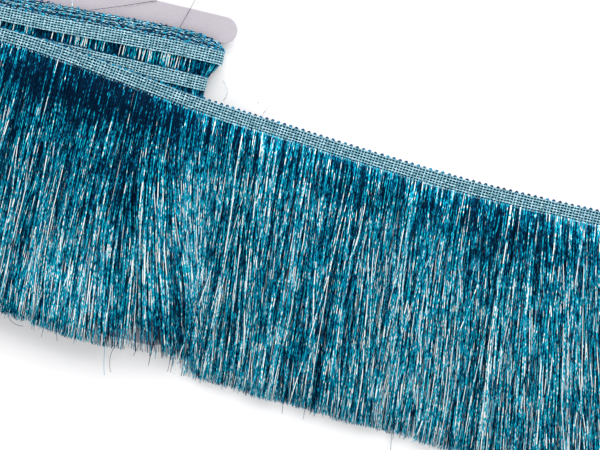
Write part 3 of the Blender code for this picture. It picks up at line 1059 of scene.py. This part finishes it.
class TRIM_OT_wound_headings(bpy.types.Operator):
    """Make the wound headings: the stacked ones with their stepped edges, and the outer one"""

    bl_idname = "trim.wound_headings"
    bl_label = "Wind the Headings"

    def execute(self, context):
        sizes, colours = sizes_and_colours(context)
        rng = np.random.default_rng(23)
        width = sizes.heading_width
        worn = {"tone": OLDER_PICOT_TONE, "messy": 1.0}
        stacked, outer, picots = Yarns(), Yarns(), Yarns()

        band = wound_band(STACKED_HEADING, width, lambda x, _: stack_foot(x))
        add_heading(stacked, picots, band, sizes, rng, **worn)
        for k in range(OLDER_EDGES):
            share = (k + 1) / OLDER_EDGES
            level = sunk(STACKED_HEADING, HEADING_THICK * len(OLDER_REACHES) * share * STACK_PRESSED)
            reaches = OLDER_REACHES_AT_EDGE[-1] * share, OLDER_REACHES[-1] * share
            band = wound_band(
                level, width, lambda x, angle: stack_foot(x) + older_reach(x, angle, *reaches)
            )
            add_chains(stacked, band, sizes, range(sizes.chain_rows)[-2:], rng, OLDER_UNEVEN)
            add_picots(picots, band, sizes, rng, **worn)
        band = wound_band(OUTER_HEADING, width, lambda x, _: np.full_like(x, OUTER_FOOT))
        add_heading(outer, picots, band, sizes, rng)

        yarn = yarn_finish(colours)
        foil = foil_finish("picot_foil", colours, PICOT_CONTRAST)
        shown("stacked_headings", stacked.mesh(), yarn, "winding")
        shown("outer_heading", outer.mesh(), yarn, "winding")
        shown("wound_picots", picots.mesh(), foil, "winding")
        return {"FINISHED"}


class TRIM_OT_loose_heading(bpy.types.Operator):
    """Make the loose end's heading: a thin ground painted dark as shade, chain stitches, cross yarns
    and picots
    """

    bl_idname = "trim.loose_heading"
    bl_label = "Lay the Loose Heading"

    def execute(self, context):
        sizes, colours = sizes_and_colours(context)
        rng = np.random.default_rng(31)
        band = loose_band(sizes.heading_width + LOOSE_SPREAD)
        half = band.width / 2
        runs = np.linspace(0.2 * MM, band.length - 0.2 * MM, 260)
        lower, upper = 0.3 * MM - half, half - sizes.picot_rise - 0.1 * MM
        corners = ((lower, 0.02 * MM), (upper, 0.02 * MM), (upper, 0.42 * MM), (lower, 0.42 * MM))
        sections = [[band.at(run, *corner).tolist() for corner in corners] for run in runs]
        mesh = swept(sections, closed=False)
        ground = shown("loose_heading_ground", mesh, shaded_ground_finish(colours),
                       "heading_loose", smooth=False)

        yarns, picots = Yarns(), Yarns()
        add_heading(yarns, picots, band, sizes, rng)
        stitched = shown("loose_heading_yarns", yarns.mesh(), yarn_finish(colours),
                         "heading_loose")
        foil = foil_finish("loose_picot_foil", colours, PICOT_CONTRAST)
        loops = shown("loose_picots", picots.mesh(), foil, "heading_loose")
        flat_width = band.width + PICOT_SLACK
        cloth = (band.width - sizes.picot_rise) * band.length
        return {"FINISHED"}


class TRIM_OT_loose_fringe(bpy.types.Operator):
    """Make the loose end's fringe: strands over the winding, down its side and on the surface"""

    bl_idname = "trim.loose_fringe"
    bl_label = "Lay the Loose Fringe"

    def execute(self, context):
        sizes, colours = sizes_and_colours(context)
        foil = foil_finish("loose_foil", colours, root_light=ROOT_LIGHT)
        rng = np.random.default_rng(41)
        centre, *strands = loose_strands(sizes, COURSE[0].x, COURSE[-1].x, rng)
        on_card = centre < HEADING_LANDS_X
        for name, node, here in (("last_turn_strands", "fringe_last_turn", on_card),
                                 ("loose_strands", "fringe_loose", ~on_card)):
            yarns = Yarns()
            paths, radii, chance, tone = (values[here] for values in strands)
            yarns.add(paths, radii, (0, 0, 1), chance, tone)
            shown(name, yarns.mesh(), foil, node)
        return {"FINISHED"}


class TRIM_OT_strays(bpy.types.Operator):
    """Make the few threads that have worked loose"""

    bl_idname = "trim.strays"
    bl_label = "Add Stray Threads"

    def execute(self, context):
        _, colours = sizes_and_colours(context)
        rng = np.random.default_rng(53)
        yarns = Yarns()
        share = np.linspace(0, 1, 9)[:, None]
        for *bend, tone in stray_paths():
            start, middle, end = np.array(bend) * MM
            path = (1 - share) ** 2 * start + 2 * share * (1 - share) * middle + share**2 * end
            yarns.add(path[None], THREAD_RADIUS, (0, 0, 1), rng.random(1), tone)
        foil = foil_finish("stray_foil", colours, STRAY_CONTRAST)
        shown("stray_threads", yarns.mesh(), foil, "fringe_last_turn")
        return {"FINISHED"}


# Camera and light: straight above, turned as the photograph is

PICTURE_CENTRE = (147.3 * MM, -9.3 * MM)
PICTURE_WIDTH = 327 * MM
PICTURE_TURN = 13.3
PICTURE_PLANE_Z = 7 * MM
CAMERA_DISTANCE = 2.4
SENSOR = 36.0
FLOOR_COLOUR = (0.66, 0.658, 0.666, 1.0)
FLOOR_GLOW = 0.08
WORLD_LIGHT = 0.84
WHITE = (1.0, 1.0, 1.0, 1.0)

# The lights' places from the picture's centre: towards its top, towards its right, and up
Lamp = namedtuple("Lamp", "name away side up size power")
LAMPS = (
    Lamp("key_light", 0.95, 0.35, 0.72, 1.7, 28.8),
    Lamp("fill_light", -0.9, -0.2, 0.7, 1.2, 4.8),
)


def stage_floor():
    bm = bmesh.new()
    bmesh.ops.create_grid(bm, x_segments=1, y_segments=1, size=3.0)
    bmesh.ops.translate(bm, verts=bm.verts, vec=(*PICTURE_CENTRE, -0.05 * MM))
    mesh = bpy.data.meshes.new("floor")
    bm.to_mesh(mesh)
    bm.free()
    f = Finish("pale_floor")
    mesh.materials.append(f.set(
        Base_Color=FLOOR_COLOUR, Roughness=0.9,
        Emission_Color=WHITE, Emission_Strength=FLOOR_GLOW,
    ))
    floor = bpy.data.objects.new("floor", mesh)
    bpy.context.scene.collection.objects.link(floor)


def add_lamp(lamp, turn):
    """A soft disk of light that faces the picture's centre."""
    data = bpy.data.lights.new(lamp.name, "AREA")
    data.shape = "DISK"
    data.size = lamp.size
    data.energy = lamp.power
    light = bpy.data.objects.new(lamp.name, data)
    bpy.context.scene.collection.objects.link(light)
    x = lamp.side * math.cos(turn) - lamp.away * math.sin(turn)
    y = lamp.side * math.sin(turn) + lamp.away * math.cos(turn)
    light.location = Vector((*PICTURE_CENTRE, 0.0)) + Vector((x, y, lamp.up))
    light.rotation_euler = Vector((-x, -y, -lamp.up)).to_track_quat("-Z", "Y").to_euler()


class TRIM_OT_stage(bpy.types.Operator):
    """Set up the pale floor, the soft light and the camera"""

    bl_idname = "trim.stage"
    bl_label = "Set Up the Stage"

    def execute(self, context):
        scene = context.scene
        stage_floor()
        turn = math.radians(PICTURE_TURN)
        for lamp in LAMPS:
            add_lamp(lamp, turn)
        scene.world = bpy.data.worlds.new("studio")
        scene.world.use_nodes = True
        background = scene.world.node_tree.nodes["Background"]
        background.inputs["Color"].default_value = WHITE
        background.inputs["Strength"].default_value = WORLD_LIGHT

        data = bpy.data.cameras.new("camera")
        data.sensor_width = SENSOR
        data.lens = SENSOR * CAMERA_DISTANCE / PICTURE_WIDTH
        data.clip_end = 10.0
        camera = bpy.data.objects.new("camera", data)
        scene.collection.objects.link(camera)
        camera.location = (*PICTURE_CENTRE, PICTURE_PLANE_Z + CAMERA_DISTANCE)
        camera.rotation_euler = (0.0, 0.0, turn)
        scene.camera = camera
        scene.view_settings.view_transform = "Standard"
        return {"FINISHED"}


OPERATORS = (
    TRIM_OT_stage,
    TRIM_OT_card,
    TRIM_OT_winding,
    TRIM_OT_wound_headings,
    TRIM_OT_loose_heading,
    TRIM_OT_loose_fringe,
    TRIM_OT_strays,
)


class TRIM_PT_panel(bpy.types.Panel):
    bl_label = "Fringe Trim"
    bl_idname = "TRIM_PT_panel"
    bl_space_type = "VIEW_3D"
    bl_region_type = "UI"
    bl_category = "Fringe Trim"

    def draw(self, context):
        for operator in OPERATORS:
            self.layout.operator(operator.bl_idname)
        for settings in sizes_and_colours(context):
            for name in settings.bl_rna.properties.keys():
                if name not in ("rna_type", "name"):
                    self.layout.prop(settings, name)


CLASSES = (TrimSizes, TrimColours, *OPERATORS, TRIM_PT_panel)


def register():
    for cls in CLASSES:
        bpy.utils.register_class(cls)
    bpy.types.Scene.trim_sizes = bpy.props.PointerProperty(type=TrimSizes)
    bpy.types.Scene.trim_colours = bpy.props.PointerProperty(type=TrimColours)


def unregister():
    del bpy.types.Scene.trim_colours
    del bpy.types.Scene.trim_sizes
    for cls in reversed(CLASSES):
        bpy.utils.unregister_class(cls)


def main():
    register()
    for operator in OPERATORS:
        group, name = operator.bl_idname.split(".")
        getattr(getattr(bpy.ops, group), name)()


if __name__ == "__main__":
    main()
